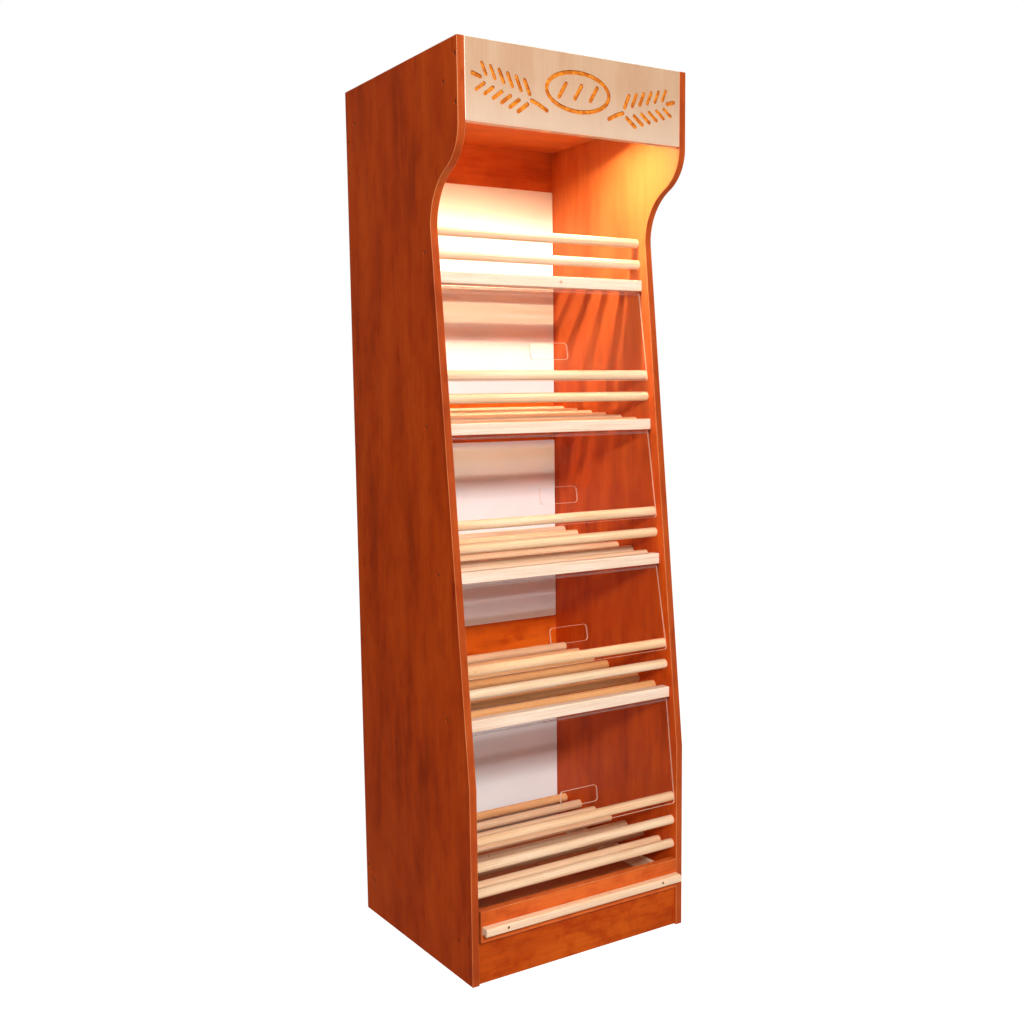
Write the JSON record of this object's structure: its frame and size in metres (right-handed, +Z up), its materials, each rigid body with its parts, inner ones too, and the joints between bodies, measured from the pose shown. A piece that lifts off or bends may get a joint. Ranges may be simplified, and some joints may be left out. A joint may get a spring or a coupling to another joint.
{
  "type": "bakery bread rack",
  "caption": "Tall bakery bread rack with sloping rod shelves between shaped side panels, clear hinged flaps with hand holes, a lamp behind the header and a crumb drawer at the foot.",
  "frame": {"origin": "on the floor, in the middle of the width and of the depth with the drawer's handle", "axes": "+Z up, -Y towards the customer in front of the flaps, +X to that person's right"},
  "size_m": [0.6, 0.535, 2],
  "materials": {
    "panel_laminate": "red-brown wood-grain laminate, satin",
    "header_laminate": "pale wood-grain laminate, satin",
    "pale_beech": "turned or planed pale hardwood, clear varnish",
    "white_sheet": "white coated sheet, satin",
    "clear_acrylic": "clear, polished",
    "lamp_white": "white enamel",
    "lamp_tube": "warm white fluorescent tube",
    "tube_cap": "satin",
    "white_plastic": "moulded",
    "screw_steel": "zinc-plated",
    "drawer_board": "pale laminate",
    "runner_steel": "white powder coat"
  },
  "bodies": {
    "cabinet": {"side_panel_right": "panel_laminate", "side_panel_left": "panel_laminate", "header_board": "header_laminate", "ceiling_board": "panel_laminate", "top_back_rail": "panel_laminate", "middle_back_rail": "panel_laminate", "lower_back_rail": "panel_laminate", "bottom_back_rail": "panel_laminate", "upper_back_sheet": "white_sheet", "middle_back_sheet": "white_sheet", "lower_back_sheet": "white_sheet", "plinth_board": "panel_laminate", "base_board": "panel_laminate", "shelf_1_front_rail": "pale_beech", "shelf_1_guard_rods": "pale_beech", "shelf_1_rods": "pale_beech", "shelf_2_front_rail": "pale_beech", "shelf_2_guard_rods": "pale_beech", "shelf_2_rods": "pale_beech", "shelf_3_front_rail": "pale_beech", "shelf_3_guard_rods": "pale_beech", "shelf_3_rods": "pale_beech", "shelf_4_front_rail": "pale_beech", "shelf_4_guard_rods": "pale_beech", "shelf_4_rods": "pale_beech", "bottom_shelf_front_rods": "pale_beech", "bottom_shelf_rods": "pale_beech", "lamp_batten": "lamp_white", "lamp_tube": "lamp_tube", "lamp_tube_caps": "tube_cap", "lamp_holders": "white_plastic", "carcass_screws": "screw_steel", "cabinet_runner_right": "runner_steel", "cabinet_runner_left": "runner_steel"},
    "flap_1": {"flap_1_sheet": "clear_acrylic", "flap_1_pivot_bar": "clear_acrylic"},
    "flap_2": {"flap_2_sheet": "clear_acrylic", "flap_2_pivot_bar": "clear_acrylic"},
    "flap_3": {"flap_3_sheet": "clear_acrylic", "flap_3_pivot_bar": "clear_acrylic"},
    "flap_4": {"flap_4_sheet": "clear_acrylic", "flap_4_pivot_bar": "clear_acrylic"},
    "drawer": {"drawer_front": "panel_laminate", "drawer_handle": "pale_beech", "drawer_handle_screws": "screw_steel", "drawer_bottom": "drawer_board", "drawer_back": "drawer_board", "drawer_side_right": "drawer_board", "drawer_side_left": "drawer_board", "drawer_slide_bar_right": "runner_steel", "drawer_slide_bar_left": "runner_steel"}
  },
  "joints": [
    {"name": "flap_1_hinge", "type": "hinge", "parent": "cabinet", "child": "flap_1", "pos_m": [0, -0.1051, 1.5225], "axis": [-1, 0, 0], "range_deg": [0, 95]},
    {"name": "flap_2_hinge", "type": "hinge", "parent": "cabinet", "child": "flap_2", "pos_m": [0, -0.13764, 1.1965], "axis": [-1, 0, 0], "range_deg": [0, 95]},
    {"name": "flap_3_hinge", "type": "hinge", "parent": "cabinet", "child": "flap_3", "pos_m": [0, -0.17058, 0.8765], "axis": [-1, 0, 0], "range_deg": [0, 95]},
    {"name": "flap_4_hinge", "type": "hinge", "parent": "cabinet", "child": "flap_4", "pos_m": [0, -0.20842, 0.5575], "axis": [-1, 0, 0], "range_deg": [0, 95]},
    {"name": "drawer_slide", "type": "slide", "parent": "cabinet", "child": "drawer", "axis": [0, -1, 0], "range_m": [0, 0.34]}
  ]
}
